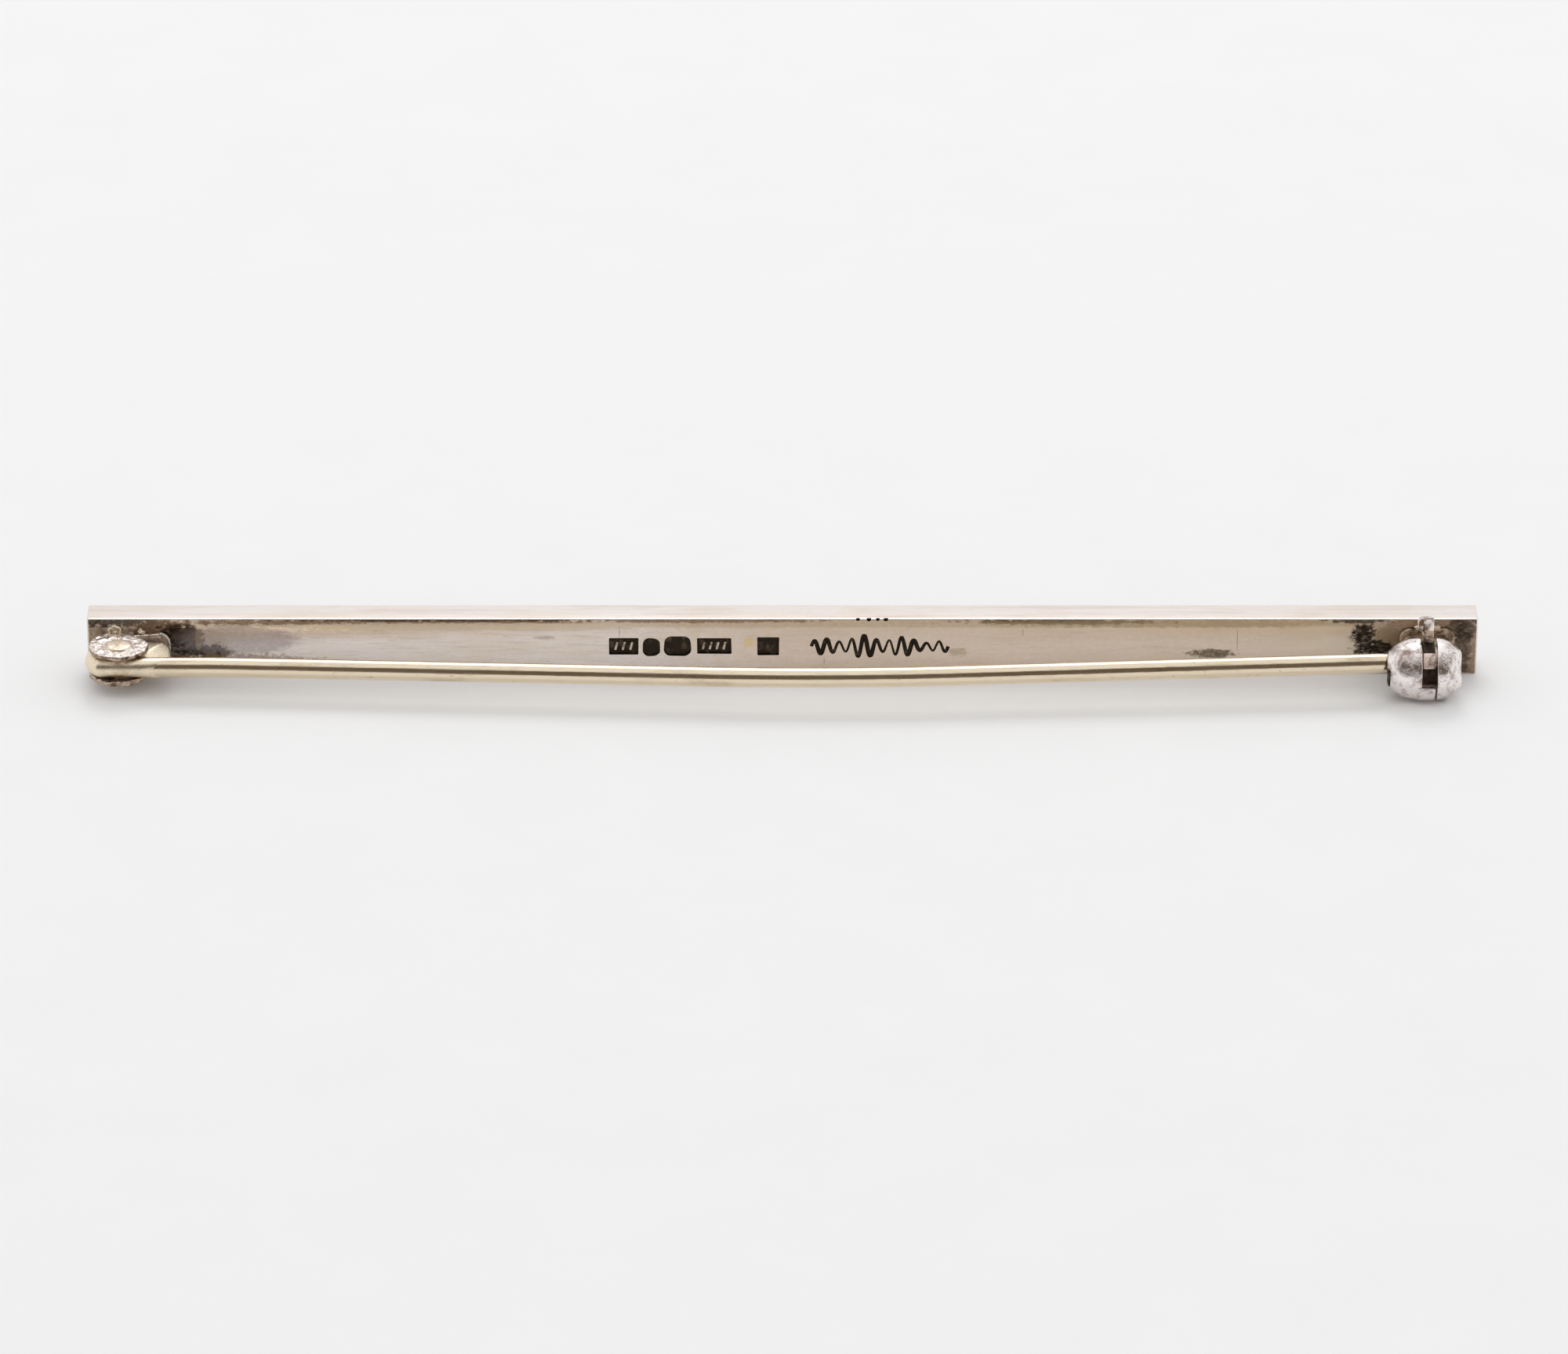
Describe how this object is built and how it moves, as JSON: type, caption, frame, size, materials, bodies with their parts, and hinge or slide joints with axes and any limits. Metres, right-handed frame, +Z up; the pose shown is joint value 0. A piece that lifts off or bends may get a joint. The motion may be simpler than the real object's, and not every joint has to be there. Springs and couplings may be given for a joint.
{
  "type": "bar pin",
  "caption": "Slim straight silver bar pin: hinged wire pin along the back, closed by a ball safety catch that turns with a small thumb tab.",
  "frame": {"origin": "middle of the bar's lower long edge, on the surface it stands on", "axes": "+X along the bar from the hinge to the catch, +Z up, -Y out of the bar's back, where the pin is"},
  "size_m": [0.07, 0.0063, 0.0045],
  "materials": {
    "silver": "brushed sterling silver, tarnished in patches",
    "hammered_silver": "hand-hammered silver sheet",
    "rivet_metal": "filed nickel silver rivet",
    "solder": "dull silver solder",
    "nickel_silver": "drawn and polished nickel silver wire",
    "catch_silver": "polished silver, lightly scratched",
    "rotor_silver": "dull silver with dark corners"
  },
  "bodies": {
    "bar": {"bar": "silver", "hinge_base": "hammered_silver", "upper_ear": "hammered_silver", "lower_ear": "hammered_silver", "hinge_rivet": "rivet_metal", "hinge_solder": "solder", "catch_base": "catch_silver", "catch_solder": "solder", "ball_shell_left": "catch_silver", "ball_shell_right": "catch_silver"},
    "pin": {"pin_stem": "nickel_silver"},
    "rotor": {"rotor_barrel": "rotor_silver", "rotor_ring": "rotor_silver", "thumb_tab": "rotor_silver"}
  },
  "joints": [
    {"name": "pin_swing", "type": "hinge", "parent": "bar", "child": "pin", "pos_m": [-0.0335, -0.0026, 0.00153], "axis": [0, 0, -1], "range_deg": [0, 100]},
    {"name": "rotor_turn", "type": "hinge", "parent": "bar", "child": "rotor", "pos_m": [0.0321, -0.00367, 0.00158], "axis": [1, 0, 0], "range_deg": [0, 92]}
  ]
}
